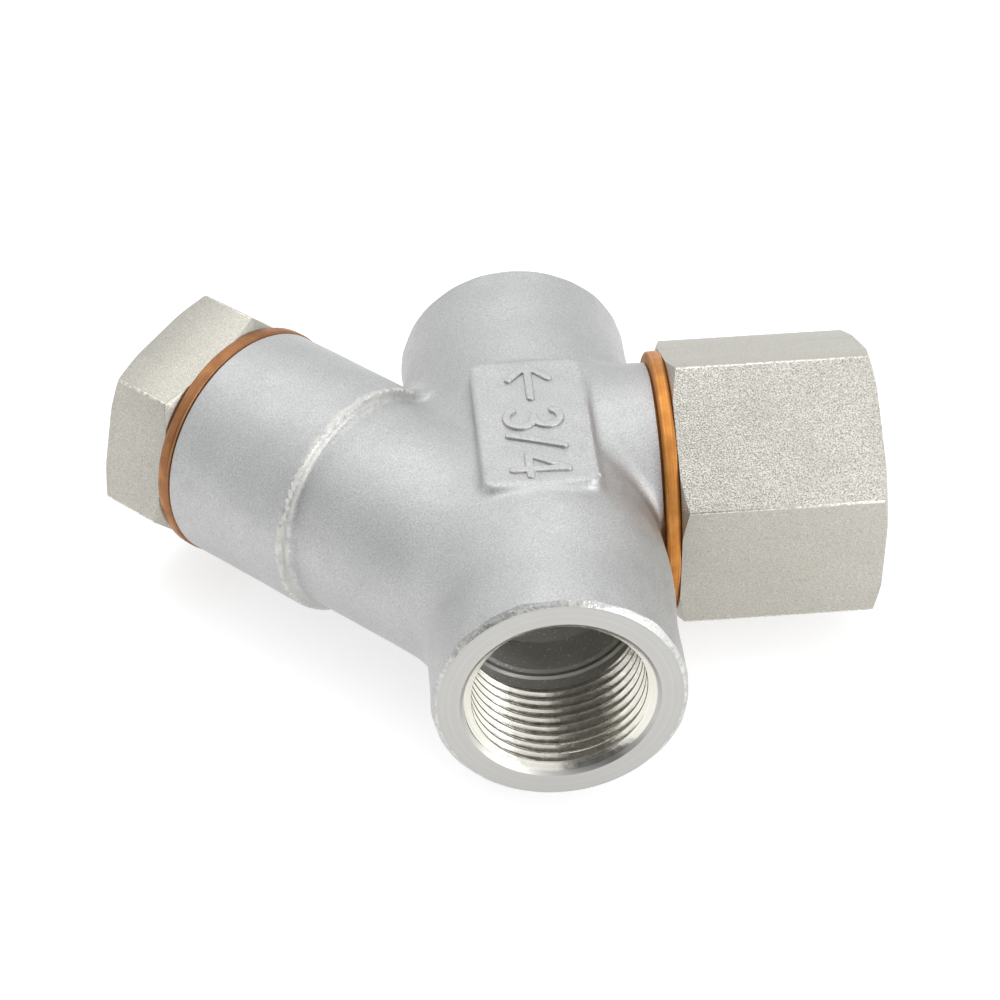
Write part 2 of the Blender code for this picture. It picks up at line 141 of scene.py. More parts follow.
SCREEN_RADIUS, SCREEN_WALL, SCREEN_RING_HOLE = 11.6, 0.6, 11.65
HOLE_RADIUS, HOLES_APART_ROUND, HOLES_APART_ALONG = 0.5, 1.62, 1.45
PLAIN_ROWS, PLAIN_COLUMNS = 3, 2
INNER_RING_RADIUS, OUTER_RING_RADIUS = 12.8, 12.55
SKIN_STEP, MARKS_STEP = 0.53, 0.14


# ---- making meshes
def new_object(name, data):
    item = bpy.data.objects.new(name, data)
    bpy.context.scene.collection.objects.link(item)
    return item


def new_piece(name, points, faces, axis=own_axis):
    mesh = bpy.data.meshes.new(name)
    mesh.from_pydata([tuple(p) for p in points], [], [tuple(f) for f in faces])
    mesh.update()
    piece = new_object(name, mesh)
    piece.matrix_world = axis
    return piece


def settle(piece):
    """Fixes a piece's modifiers into its mesh."""
    bpy.context.view_layer.update()
    ready = piece.evaluated_get(bpy.context.evaluated_depsgraph_get())
    mesh = bpy.data.meshes.new_from_object(ready)
    old = piece.data
    piece.modifiers.clear()
    piece.data = mesh
    bpy.data.meshes.remove(old)
    return piece


def cut(piece, *tools, operation="DIFFERENCE"):
    """Cuts, joins or trims a piece with closed tools, which are then thrown away."""
    for tool in tools:
        step = piece.modifiers.new("cut", "BOOLEAN")
        step.operation = operation
        step.solver = "MANIFOLD"
        step.object = tool
        settle(piece)
        bpy.data.objects.remove(tool)
    return piece


def soften(piece, width, angle):
    """Rounds the sharp edges as a deburring pass leaves them."""
    step = piece.modifiers.new("soften", "BEVEL")
    step.width = width
    step.segments = 2
    step.limit_method = "ANGLE"
    step.angle_limit = math.radians(angle)
    step.use_clamp_overlap = True
    step.harden_normals = False
    return settle(piece)


def fan(pole, edge):
    """Triangles from a pole to each side of a closed edge."""
    return [(pole, edge[k], edge[(k + 1) % len(edge)]) for k in range(len(edge))]


def skin_between(rows, first_pole=None, last_pole=None):
    """Faces between closed rows of vertex numbers, with a fan to a pole at either end."""
    faces = []
    for upper, lower in zip(rows, rows[1:]):
        for k, start in enumerate(upper):
            after = (k + 1) % len(upper)
            faces.append((start, lower[k], lower[after], upper[after]))
    if first_pole is not None:
        faces += fan(first_pole, rows[0])
    if last_pole is not None:
        faces += [(pole, after, start) for pole, start, after in fan(last_pole, rows[-1])]
    return faces


def turned(name, profile, axis, steps=144):
    """Turns (radius, height) points, given down the outer side, into a closed solid or ring."""
    spin = np.arange(steps) * 2 * math.pi / steps
    points, rows, poles = [], [], []
    for radius, height in profile:
        first = len(points)
        if radius == 0.0:
            points.append((0.0, 0.0, height))
            poles.append(first)
            continue
        points += [(radius * math.cos(a), radius * math.sin(a), height) for a in spin]
        rows.append(range(first, first + steps))
    if poles:
        faces = skin_between(rows, poles[0], poles[-1])
    else:
        faces = skin_between(rows + rows[:1])
    return new_piece(name, points, faces, axis)


# One pitch of a rounded 55 to 60 degree thread: the share of the pitch and of the depth.
THREAD_SHAPE = [(0.0, 1.0), (0.09, 0.93), (0.41, 0.07), (0.5, 0.0), (0.59, 0.07), (0.91, 0.93)]


def screw_core(name, major, minor, pitch, low, high, axis):
    """A closed right-hand screw. Its rows climb one pitch a turn and join the rows above."""
    steps = 120
    turns = math.ceil((high - low) / pitch)
    points = []
    for turn in range(turns, -1, -1):
        for share, depth in reversed(THREAD_SHAPE):
            radius = minor + (major - minor) * depth
            for k in range(steps):
                angle = 2 * math.pi * k / steps
                height = low + pitch * (turn + share + k / steps - 1.0)
                points.append((radius * math.cos(angle), radius * math.sin(angle), height))
    per_turn = len(THREAD_SHAPE)
    last = (turns + 1) * per_turn - 1

    def at(row, k):
        return (row - per_turn) * steps if k == steps else row * steps + k

    faces = []
    for row in range(last):
        for k in range(steps if row >= per_turn else steps - 1):
            faces.append((at(row, k), at(row + 1, k), at(row + 1, k + 1), at(row, k + 1)))
    top_edge = [at(0, k) for k in range(steps)]
    top_edge += [at(row, steps - 1) for row in range(1, per_turn + 1)]
    low_edge = [at(row, 0) for row in range(last - per_turn, last)]
    low_edge += [at(last, k) for k in range(steps)]
    points += [(0.0, 0.0, points[steps - 1][2]), (0.0, 0.0, points[last * steps][2])]
    faces += fan(len(points) - 2, top_edge)
    faces += fan(len(points) - 1, low_edge[::-1])
    return new_piece(name, points, faces, axis)


def hexagon_angles(turn, corner_half):
    """Angles round a hexagon: even along each flat, and close together round each corner."""
    corner_steps, flat_steps = 3, 14
    free = SIXTH_TURN - 2 * corner_half
    angles = []
    for corner in range(6):
        middle = turn + corner * SIXTH_TURN
        for k in range(-corner_steps, corner_steps + 1):
            angles.append(middle + corner_half * k / corner_steps)
        for k in range(1, flat_steps):
            angles.append(middle + corner_half + free * k / flat_steps)
    return angles


def hexagon_bar(name, flats, turn, low, high, axis):
    """A hexagonal bar with rounded corners, both ends turned to a chamfer that leaves arcs."""
    corner_round, chamfer, slope, hub_share = 0.45, 2.1, 2.3, 0.55
    apothem = flats / 2
    corner = apothem / math.cos(TWELFTH_TURN)
    face = corner - chamfer
    round_centre = corner - corner_round / math.sin(SIXTH_TURN)
    tangent = apothem * math.tan(TWELFTH_TURN) - corner_round * math.tan(TWELFTH_TURN)
    corner_half = TWELFTH_TURN - math.atan(tangent / apothem)
    columns = []
    for angle in hexagon_angles(turn, corner_half):
        off = (angle - turn + TWELFTH_TURN) % SIXTH_TURN - TWELFTH_TURN
        if abs(off) <= corner_half * 1.0001:
            reach = math.sqrt(corner_round**2 - (round_centre * math.sin(off)) ** 2)
            radius = round_centre * math.cos(off) + reach
        else:
            radius = apothem / math.cos(TWELFTH_TURN - abs(off))
        inner = min(radius, face)
        drop = max(radius - face, 0.0) / slope
        outline = [
            (inner * hub_share, high),
            (inner, high),
            (radius, high - drop),
            (radius, (low + high) / 2),
            (radius, low + drop),
            (inner, low),
            (inner * hub_share, low),
        ]
        columns.append([(r * math.cos(angle), r * math.sin(angle), height) for r, height in outline])
    points, rows = [(0.0, 0.0, high)], []
    for row in zip(*columns):
        rows.append(range(len(points), len(points) + len(row)))
        points += row
    points.append((0.0, 0.0, low))
    bar = new_piece(name, points, skin_between(rows, 0, len(points) - 1), axis)
    weld(bar)
    return bar


def weld(piece):
    """Joins points that lie on each other, such as where a chamfer runs out on a flat."""
    distance = 0.0005
    bm = bmesh.new()
    bm.from_mesh(piece.data)
    bmesh.ops.remove_doubles(bm, verts=bm.verts, dist=distance)
    bmesh.ops.dissolve_degenerate(bm, edges=bm.edges, dist=distance)
    bm.to_mesh(piece.data)
    bm.free()


# ---- the casting's skin, from distances
def blend_of(first, second, fillet):
    """The nearer of two distances, with a fillet where they meet."""
    near = np.maximum(fillet - np.abs(first - second), 0.0) / fillet
    return np.minimum(first, second) - near * near * fillet / 4


def rounded_corner(first, second, radius):
    """The distance from what lies inside two faces whose shared edge is rounded."""
    outside = np.hypot(np.maximum(first + radius, 0), np.maximum(second + radius, 0))
    return outside + np.minimum(np.maximum(first, second) + radius, 0) - radius


def along_axis(points, axis):
    """Each point's height along an axis and its distance from it."""
    local = points @ np.array(axis.inverted().to_3x3()).T + np.array(axis.inverted().translation)
    return local[..., 2], np.hypot(local[..., 0], local[..., 1])


def leg_distance(points):
    """The neck, which starts inside the run, and the thicker collar, which starts at a step."""
    height, out = along_axis(points, leg_axis)
    start = np.hypot(out, np.minimum(height, 0.0))
    collar = rounded_corner(out - LEG_COLLAR_RADIUS, COLLAR_START - height, 0.6)
    whole = blend_of(start - LEG_NECK_RADIUS, collar, 1.3)
    return np.maximum(whole, height - LEG_FACE - SPARE)


def boss_distance(points):
    height, out = along_axis(points, boss_axis)
    root = 1.0 - np.clip(height / 5.0, 0.0, 1.0)
    side = np.hypot(out, np.minimum(height, 0.0)) - BOSS_RADIUS + 0.5 * root * root
    return np.maximum(side, height - BOSS_FACE - SPARE)


def pad_distance(points):
    """A box with 2 mm upright corners and a softer top edge."""
    middle = (np.array(PAD_LOW) + np.array(PAD_HIGH)) / 2
    half = (np.array(PAD_HIGH) - np.array(PAD_LOW)) / 2
    away = np.abs(points - middle) - half
    across = rounded_corner(away[..., 0], away[..., 1], 2.0)
    return rounded_corner(across, away[..., 2], 0.7)


def unevenness(points):
    """The slight waves of a casting's skin, a few hundredths of a millimetre deep."""
    x, y, z = (points[..., k] for k in range(3))
    waves = np.sin(0.61 * x + 1.3) * np.sin(0.47 * y + 0.4) + np.sin(0.53 * z - 0.37 * y + 2.0)
    waves = waves + 0.6 * np.sin(1.13 * y + 0.71 * x - 0.9 * z) * np.sin(0.83 * z + 1.7)
    return 0.022 * waves


def torn_rims(points):
    """How the skin stands out or in round the two ends, where the wax was trimmed."""
    near = np.clip((np.abs(points[..., 1]) - RUN_HALF + 4.0) / 3.0, 0.0, 1.0)
    angle = np.arctan2(points[..., 2], points[..., 0])
    waves = np.sin(5 * angle + 1.0) + 0.7 * np.sin(11 * angle + 2.3) + 0.5 * np.sin(23 * angle)
    return 0.08 * near * waves


def casting_distance(points):
    run = np.hypot(points[..., 0], points[..., 2]) - RUN_RADIUS
    run = np.maximum(run, np.abs(points[..., 1]) - RUN_HALF - SPARE)
    whole = blend_of(run, leg_distance(points), 4.5)
    whole = blend_of(whole, boss_distance(points), 1.7)
    whole = blend_of(whole, pad_distance(points), 1.3)
    return whole + unevenness(points) + torn_rims(points)


def grid_sides(way):
    """The slices of a grid that hold the two ends of each grid line's parts, one way."""
    first, second = [slice(None)] * 3, [slice(None)] * 3
    first[way], second[way] = slice(None, -1), slice(1, None)
    return tuple(first), tuple(second)


def cells_beside(where, ways, steps):
    """The cells round each of some grid lines: each step back leads to one of them."""
    for step in steps:
        cell = where.copy()
        cell[:, ways] -= step
        yield cell


def crossing_cells(inside, values):
    """For each cell that the surface crosses, the mean of where it crosses the cell's sides."""
    cells = tuple(n - 1 for n in values.shape)
    total = np.zeros((*cells, 3), np.float32)
    count = np.zeros(cells, np.float32)
    for way in range(3):
        start, end = grid_sides(way)
        where = np.argwhere(inside[start] != inside[end])
        first, second = values[start][tuple(where.T)], values[end][tuple(where.T)]
        spot = where.astype(np.float32)
        spot[:, way] += first / (first - second)
        others = [k for k in range(3) if k != way]
        for cell in cells_beside(where, others, ((0, 0), (1, 0), (0, 1), (1, 1))):
            fits = np.all((cell >= 0) & (cell < cells), axis=1)
            np.add.at(total, tuple(cell[fits].T), spot[fits])
            np.add.at(count, tuple(cell[fits].T), 1.0)
    return total, count


def skin_of(name, distance, low, high, step):
    """A closed mesh where a distance is zero: one point in each cell that it crosses, one
    face across each grid line that it crosses, and then the points drawn onto the surface."""
    lines = [np.arange(low[k], high[k] + step, step, dtype=np.float32) for k in range(3)]
    grid = np.stack(np.meshgrid(*lines, indexing="ij"), axis=-1)
    values = distance(grid).astype(np.float32)
    inside = values < 0
    total, count = crossing_cells(inside, values)
    used = count > 0
    number = np.full(count.shape, -1, np.int64)
    number[used] = np.arange(used.sum())
    points = total[used] / count[used][:, None] * step + np.array(low, np.float32)
    faces = []
    for way in range(3):
        others = [(way + 1) % 3, (way + 2) % 3]
        start, end = grid_sides(way)
        where = np.argwhere(inside[start] != inside[end])
        cells = cells_beside(where, others, ((0, 0), (1, 0), (1, 1), (0, 1)))
        quads = np.stack([number[tuple(cell.T)] for cell in cells], axis=1)
        leaving = inside[start][tuple(where.T)]
        quads[~leaving] = quads[~leaving][:, ::-1]
        faces.append(quads)
    points = drawn_onto(distance, points.astype(np.float64))
    return new_piece(name, points, np.concatenate(faces).tolist())


def drawn_onto(distance, points):
    """Moves points along the slope until they lie on the surface."""
    small = 0.02
    for _ in range(3):
        value = distance(points)
        slope = np.empty_like(points)
        for k in range(3):
            nudge = np.zeros(3)
            nudge[k] = small
            slope[:, k] = (distance(points + nudge) - distance(points - nudge)) / (2 * small)
        steep = np.maximum((slope * slope).sum(axis=1), 0.25)
        points = points - slope * (value / steep)[:, None]
    return points


# ---- materials
def linear(colour):
    """A colour written as sRGB hex, as the linear values that a shader takes."""
    parts = [int(colour[k:k + 2], 16) / 255 for k in (1, 3, 5)]
    return [*(p / 12.92 if p <= 0.04045 else ((p + 0.055) / 1.055) ** 2.4 for p in parts), 1.0]


def add(tree, kind, inputs=None, **settings):
    """Adds a shader node with its settings, and sets or links its inputs."""
    node = tree.nodes.new(f"ShaderNode{kind}")
    for name, value in settings.items():
        setattr(node, name, value)
    for key, value in (inputs or {}).items():
        if isinstance(value, bpy.types.NodeSocket):
            tree.links.new(value, node.inputs[key])
        else:
            node.inputs[key].default_value = value
    return node


def new_surface(name, metallic=1.0):
    """A material, its tree, its shader and the piece's own coordinates. Metal unless said."""
    material = bpy.data.materials.new(name)
    material.use_nodes = True
    tree = material.node_tree
    shader = tree.nodes["Principled BSDF"]
    shader.inputs["Metallic"].default_value = metallic
    return material, tree, shader, add(tree, "TexCoord").outputs["Object"]


def maths(tree, operation, *values):
    """The result of a sum on one or two numbers."""
    return add(tree, "Math", dict(enumerate(values)), operation=operation).outputs[0]


def ramp(tree, value, start, end):
    """0 where a number is at the start, 1 where it is at the end, and even in between."""
    limits = {"Value": value, "From Min": start, "From Max": end}
    return add(tree, "MapRange", limits).outputs["Result"]


def noise(tree, where, size, detail=2.0, contrast=0.5):
    """Noise from 0 to 1 with features of a size in millimetres."""
    inputs = {"Vector": where, "Scale": 1.0 / (size * MM), "Detail": detail}
    raw = add(tree, "TexNoise", inputs).outputs["Fac"]
    return ramp(tree, raw, 0.5 - contrast / 2, 0.5 + contrast / 2)


def between(tree, share, low, high):
    """A number from low to high by a share."""
    inputs = {"Value": share, "To Min": low, "To Max": high}
    return add(tree, "MapRange", inputs).outputs["Result"]


def shade(tree, share, first, second):
    """A colour from first to second by a share. Either is hex or another node's colour."""
    pair = [linear(c) if isinstance(c, str) else c for c in (first, second)]
    return add(tree, "Mix", {0: share, 6: pair[0], 7: pair[1]}, data_type="RGBA").outputs[2]


def finish_shader(tree, shader, colour, roughness, *layers):
    """Links colour, roughness and relief in layers of (height 0 to 1, depth in millimetres)."""
    tree.links.new(colour, shader.inputs["Base Color"])
    tree.links.new(roughness, shader.inputs["Roughness"])
    below = {}
    for height, depth in layers:
        inputs = {"Height": height, "Distance": depth * MM, "Strength": 1.0, **below}
        below = {"Normal": add(tree, "Bump", inputs).outputs["Normal"]}
    if layers:
        tree.links.new(below["Normal"], shader.inputs["Normal"])


def round_axis(tree, where, axis):
    """Distance from an axis and height along it, and both as coordinates for ring patterns."""
    start, way = tuple(axis.translation * MM), tuple(axis.col[2].xyz)
    local = add(tree, "VectorMath", {0: where, 1: start}, operation="SUBTRACT").outputs[0]
    pair = {0: local, 1: way}
    height = add(tree, "VectorMath", pair, operation="DOT_PRODUCT").outputs["Value"]
    across = add(tree, "VectorMath", pair, operation="CROSS_PRODUCT").outputs[0]
    out = add(tree, "VectorMath", {0: across}, operation="LENGTH").outputs["Value"]
    return out, height, add(tree, "CombineXYZ", {0: out, 1: height}).outputs[0]


def shoulder_highlight_share(tree, where, tears):
    """1 on the shoulder of the leg's collar and 0 away from it, with a ragged edge: the share of a
    painted highlight along the step.
    """
    out, height, _ = round_axis(tree, where, leg_axis)
    off = maths(tree, "ABSOLUTE", maths(tree, "SUBTRACT", height, (COLLAR_START + 0.15) * MM))
    off = maths(tree, "ADD", off, between(tree, tears, -0.45 * MM, 0.45 * MM))
    near = ramp(tree, off, 0.9 * MM, 0.3 * MM)
    # patchy strength of the painted highlight
    lightened = between(tree, noise(tree, where, 8.0), 0.25, 0.85)
    on_leg = ramp(tree, out, (LEG_COLLAR_RADIUS + 1.0) * MM, (LEG_COLLAR_RADIUS + 0.4) * MM)
    return maths(tree, "MULTIPLY", maths(tree, "MULTIPLY", near, lightened), on_leg)


def investment_cast_bead_blasted():
    """Investment-cast stainless, blasted with glass beads. The beads leave dents about
    0.15 mm wide, drawn at 0.24 mm so that they don't vanish: a soft, even sheen. Where the
    facing tool came through at the rims, the skin is torn into a ragged bright edge. The
    shoulder of the leg's collar is painted lighter, a painted highlight along the step."""
    material, tree, shader, where = new_surface("investment_cast_stainless_bead_blasted")
    patches = noise(tree, where, 9.0, 3.0)
    dents = noise(tree, where, 0.24, 1.0, 0.45)
    peel = noise(tree, where, 2.2, 3.0)
    tears = noise(tree, where, 0.9, 4.0, 0.35)
    _, along, _ = round_axis(tree, where, run_axis)
    ragged = between(tree, noise(tree, where, 2.6), -0.9 * MM, 0.15 * MM)
    reach = maths(tree, "ADD", maths(tree, "ABSOLUTE", along), ragged)
    rim = RUN_HALF - RIM_CHAMFER
    stretch = between(tree, noise(tree, where, 6.0), 0.3, 1.0)
    torn = maths(tree, "MULTIPLY", ramp(tree, reach, (rim - 0.3) * MM, rim * MM), stretch)
    # painted highlight on the collar's shoulder, where the step faces the light
    shoulder_highlight = shoulder_highlight_share(tree, where, tears)
    skin = shade(tree, patches, "#bfbfbf", "#cbcbca")
    skin = shade(tree, between(tree, dents, 0.0, 0.8), skin, "#a6a6a6")
    # the shoulder painted lighter: a painted highlight
    skin = shade(tree, shoulder_highlight, skin, "#d3d3cc")
    rough = between(tree, peel, 0.48, 0.58)
    rough = add(tree, "Mix", {0: torn, 2: rough, 3: 0.3}).outputs[0]
    rips = shade(tree, tears, "#9f9e99", "#dcdbd6")
    ripped = maths(tree, "MULTIPLY", torn, tears)
    finish_shader(
        tree, shader, shade(tree, torn, skin, rips), rough,
        (peel, 0.02), (dents, 0.016), (ripped, 0.09),
    )
    return material


def lathe_turned(name, axis, light, dark, rough):
    """Stainless faced and bored on a lathe. The feed leaves rings about 0.1 mm apart, drawn
    at 0.22 mm: a satin face whose gleam fans round the axis."""
    material, tree, shader, where = new_surface(name)
    _, _, rings = round_axis(tree, where, axis)
    feed = noise(tree, rings, 0.22, 1.0, 0.7)
    bands = noise(tree, rings, 1.6)
    smudges = noise(tree, where, 3.0, 3.0)
    mixed = maths(tree, "MULTIPLY", feed, bands)
    level = between(tree, smudges, rough - 0.05, rough + 0.07)
    finish_shader(
        tree, shader, shade(tree, mixed, dark, light), level,
        (feed, 0.004), (smudges, 0.006),
    )
    return material


def tapped_thread(name, axis):
    """Stainless cut by a tap. The cutting edges leave streaks that run along the thread, and
    polished flanks: sharp lights and darks that follow each turn."""
    material, tree, shader, where = new_surface(name)
    _, _, rings = round_axis(tree, where, axis)
    streaks = noise(tree, rings, 0.25, 2.0, 0.6)
    chatter = noise(tree, where, 1.1, 3.0)
    colour = shade(tree, streaks, "#ccc9bf", "#e8e5dc")
    finish_shader(
        tree, shader, colour, between(tree, chatter, 0.14, 0.28),
        (streaks, 0.008), (chatter, 0.012),
    )
    return material


def as_cast_passage():
    """The casting's inner passages, as they come from the shell mould: under a thin dull scale
    that is hardly metallic, with a 0.5 mm grain and sparse near-white specks painted on it as glints."""
    material, tree, shader, where = new_surface("stainless_as_cast_in_the_passages", 0.15)
    grain = noise(tree, where, 0.5, 3.0)
    glint_specks = ramp(tree, grain, 0.7, 0.88)
    stain = noise(tree, where, 6.0)
    colour = shade(tree, stain, "#c2c0bb", "#cecdc8")
    # painted glints: near-white specks on the grain
    colour = shade(tree, glint_specks, colour, "#fbfaf5")
    finish_shader(tree, shader, colour, between(tree, grain, 0.5, 0.75), (grain, 0.05))
    return material


def hexagon_blasted(name, light, dark, contrast, depth):
    """Hexagon bar blasted with grit. The grit leaves pits of 0.2 to 0.3 mm with bright lips: a
    pebbly, slightly warm grey. A lighter copy with deeper pits, for the flat facing the lens, is
    painted light."""
    material, tree, shader, where = new_surface(name)
    pits = noise(tree, where, 0.21, 1.0, contrast)
    clouds = noise(tree, where, 7.0, 3.0)
    colour = shade(tree, between(tree, clouds, 0.75, 1.0), dark, light)
    colour = shade(tree, pits, dark, colour)
    finish_shader(tree, shader, colour, between(tree, pits, 0.5, 0.38), (pits, depth))
    return material


def worn_corner_with_highlight():
    """The hexagon's corners, which a spanner and the blasting have worn: pitted like the flats,
    with the high spots polished, and painted lighter as a painted highlight, a dotted light line."""
    material, tree, shader, where = new_surface("stainless_hexagon_corner_worn_with_painted_highlight")
    dots = noise(tree, where, 0.45, 2.0, 0.3)
    # lighter than the flats: spanner wear together with a painted highlight on the corners
    colour = shade(tree, dots, "#b3b0a7", "#e3e0d7")
    finish_shader(tree, shader, colour, between(tree, dots, 0.45, 0.25), (dots, 0.02))
    return material


def annealed_copper(name, light, dark, tarnish):
    """Annealed copper sheet, turned and pressed between the faces: soft orange brown with fine
    rings round its edge and darker tarnish in patches."""
    material, tree, shader, where = new_surface(name)
    _, _, rings = round_axis(tree, where, own_axis)
    lines = noise(tree, rings, 0.3, 1.0, 0.4)
    patches = noise(tree, where, 2.5, 4.0)
    grain = noise(tree, where, 0.35)
    colour = shade(tree, lines, dark, light)
    colour = shade(tree, between(tree, patches, 0.0, 0.7), colour, tarnish)
    colour = shade(tree, between(tree, grain, 0.0, 0.35), colour, dark)
    finish_shader(
        tree, shader, colour, between(tree, patches, 0.36, 0.52),
        (lines, 0.006), (grain, 0.012),
    )
    return material


def rolled_perforated_sheet():
    """Thin stainless sheet, punched and rolled: bright, with drawing lines along the tube."""
    material, tree, shader, where = new_surface("stainless_sheet_punched_and_rolled")
    stretch = add(tree, "Mapping", {"Vector": where, "Scale": (1.0, 1.0, 0.08)}).outputs[0]
    lines = noise(tree, stretch, 0.4)
    handled = noise(tree, where, 5.0, 3.0)
    colour = shade(tree, lines, "#c3c2be", "#d6d5d1")
    finish_shader(tree, shader, colour, between(tree, handled, 0.24, 0.38), (lines, 0.004))
    return material


def strip_metal(name, light, dark, tint, size, rough):
    """A machined, rolled or drawn inner part: a fine grain of 0.25 to 0.4 mm that breaks up
    its gleam, over broad heat or oil tints."""
    material, tree, shader, where = new_surface(name)
    grain = noise(tree, where, size)
    tints = noise(tree, where, 4.0, 3.0)
    colour = shade(tree, grain, dark, light)
    colour = shade(tree, between(tree, tints, 0.0, 0.45), colour, tint)
    finish_shader(tree, shader, colour, between(tree, grain, rough, rough + 0.12), (grain, 0.005))
    return material


def pale_floor():
    """A white acrylic table lit from below, which takes most of the depth out of shadows. Its
    matt face has a grain too faint to draw the eye."""
    material, tree, shader, where = new_surface("matt_white_acrylic_lit_from_below", 0.0)
    grain = noise(tree, where, 0.8)
    shader.inputs["Specular IOR Level"].default_value = 0.2
    shader.inputs["Emission Color"].default_value = linear("#ffffff")
    shader.inputs["Emission Strength"].default_value = 0.6
    colour = shade(tree, grain, "#c4c4c4", "#c8c8c8")
    finish_shader(tree, shader, colour, between(tree, grain, 0.85, 0.9))
    return material


blasted_casting = investment_cast_bead_blasted()
turned_faces, cut_threads = [], []
for name, axis in (("run", run_axis), ("leg", leg_axis), ("boss", boss_axis)):
    faced = lathe_turned(f"stainless_faced_round_the_{name}", axis, "#bfbebb", "#b2b1ad", 0.38)
    turned_faces.append(faced)
    cut_threads.append(tapped_thread(f"stainless_tapped_in_the_{name}", axis))
turned_closures = lathe_turned("stainless_closure_turned", own_axis, "#c6c4be", "#b2b0aa", 0.32)
raw_passage = as_cast_passage()
light_blast = hexagon_blasted("hexagon_grit_blasted_lightly", "#c5c2ba", "#a3a097", 0.5, 0.012)
# a lighter, coarser copy for the flat that faces up toward the lens: painted light, with deeper pits
lit_coarse_blast = hexagon_blasted("hexagon_grit_blasted_coarse_with_painted_light", "#dad7d0", "#9d9a91", 0.34, 0.04)
worn_corner_and_highlight = worn_corner_with_highlight()
copper_ring = annealed_copper("annealed_copper_bright", "#e8a860", "#bd7b3a", "#9c6230")
dull_copper = annealed_copper("annealed_copper_tarnished", "#c18c5e", "#976845", "#7a553d")
perforated_sheet = rolled_perforated_sheet()
machined = strip_metal("stainless_turned_valve_parts", "#d4d2cc", "#bab8b2", "#a9a59a", 0.3, 0.2)
bimetal_strip = strip_metal("bimetal_rolled_strip", "#b9b2a4", "#a59c8b", "#8f7f68", 0.4, 0.28)
spring_wire = strip_metal("spring_wire_drawn", "#a9a9ab", "#8b8b8f", "#6f6a66", 0.25, 0.25)


# ---- the pieces
def rod(radius, low, high, axis, side=(0.0, 0.0)):
    """A plain round tool along an axis, moved sideways."""
    profile = [(0.0, high), (radius, high), (radius, low), (0.0, low)]
    return turned("rod", profile, axis @ Matrix.Translation((*side, 0.0)), steps=48)


def facing_tool(radius, chamfer, face, axis):
    """What a lathe takes off past a face, with the chamfer on the face's outer edge."""
    over = chamfer + 0.6
    wide, tall = 3.5, 4.0
    profile = [
        (0.0, face + tall),
        (radius + wide, face + tall),
        (radius + wide, face - over),
        (radius - chamfer + over, face - over),
        (radius - chamfer, face),
        (0.0, face),
    ]
    return turned("facing_tool", profile, axis)


def port_tools(axis, depth, passage, passage_end):
    """The mouth, bore, run-out groove, ledge and passage of a port, and its thread."""
    face, ledge = RUN_HALF, RUN_HALF - depth
    mouth_depth, lead_depth, groove_slope, groove_corner = 0.5, 1.1, 0.9, 0.35
    ledge_chamfer, passage_taper = 0.4, 1.6
    profile = [
        (0.0, face + PAST),
        (PORT_MOUTH + PAST, face + PAST),
        (PIPE_MAJOR, face - mouth_depth),
        (PIPE_MINOR, face - lead_depth),
        (PIPE_MINOR, ledge + RELIEF_LENGTH + groove_slope),
        (RELIEF_RADIUS, ledge + RELIEF_LENGTH),
        (RELIEF_RADIUS, ledge + groove_corner),
        (RELIEF_RADIUS - groove_corner, ledge),
        (passage + ledge_chamfer, ledge),
        (passage, ledge - ledge_chamfer),
        (passage, passage_end + passage_taper),
        (passage - passage_taper, passage_end),
        (0.0, passage_end),
    ]
    thread_low, thread_high = ledge + RELIEF_LENGTH, face + PIPE_PITCH
    thread = screw_core("tap", PIPE_MAJOR, PIPE_MINOR, PIPE_PITCH, thread_low, thread_high, axis)
    return turned("port_tool", profile, axis), thread


def closure_tools(axis, face, major, minor, thread_start, chamber, floor):
    """The threaded mouth and the smooth chamber behind a closure."""
    mouth_spare, floor_chamfer = 0.3, 1.0
    low = thread_start + 1.2
    profile = [
        (0.0, face + PAST),
        (major + mouth_spare + PAST, face + PAST),
        (minor, face - major + minor - mouth_spare),
        (minor, low),
        (minor, thread_start),
        (chamber, thread_start),
        (chamber, floor + floor_chamfer),
        (chamber - floor_chamfer, floor),
        (0.0, floor),
    ]
    thread = screw_core("tap", major, minor, CLOSURE_PITCH, low, face + CLOSURE_PITCH, axis)
    cut(thread, rod(major + 1.0, low - 0.4, face + 6.0, axis), operation="INTERSECT")
    return turned("closure_tool", profile, axis), thread


def inlet_turn_tool():
    """The passage from the inlet into the screen's open end."""
    hole, seat = 9.2, CHAMBER_SEAT
    profile = [
        (0.0, seat + PAST),
        (hole, seat + PAST),
        (hole, seat - 4.0),
        (hole - 2.5, seat - 7.5),
        (0.0, seat - 8.0),
    ]
    return turned("turn_tool", profile, leg_axis, 96)


def drills():
    """The seat's and the stem's holes, the way to the outlet, and two ways into the trap."""
    past_floor = BOSS_FLOOR + 0.5
    outlet_end = OUTLET_PASSAGE_END + 0.4
    return [
        rod(SEAT_HOLE, SEAT_HOLE_END, past_floor, boss_axis),
        rod(STEM_HOLE, STEM_HOLE_END, SEAT_HOLE_END + 0.3, boss_axis),
        rod(OUTLET_DRILL, boss_axis.translation.y, outlet_end, run_axis, (0.0, 1.0)),
        rod(TRAP_INLET, TRAP_INLET_END, past_floor, boss_axis, (TRAP_INLET_ASIDE, TRAP_INLET_OUT)),
        rod(TRAP_INLET, TRAP_INLET_END, past_floor, boss_axis, (-TRAP_INLET_ASIDE, TRAP_INLET_OUT)),
    ]


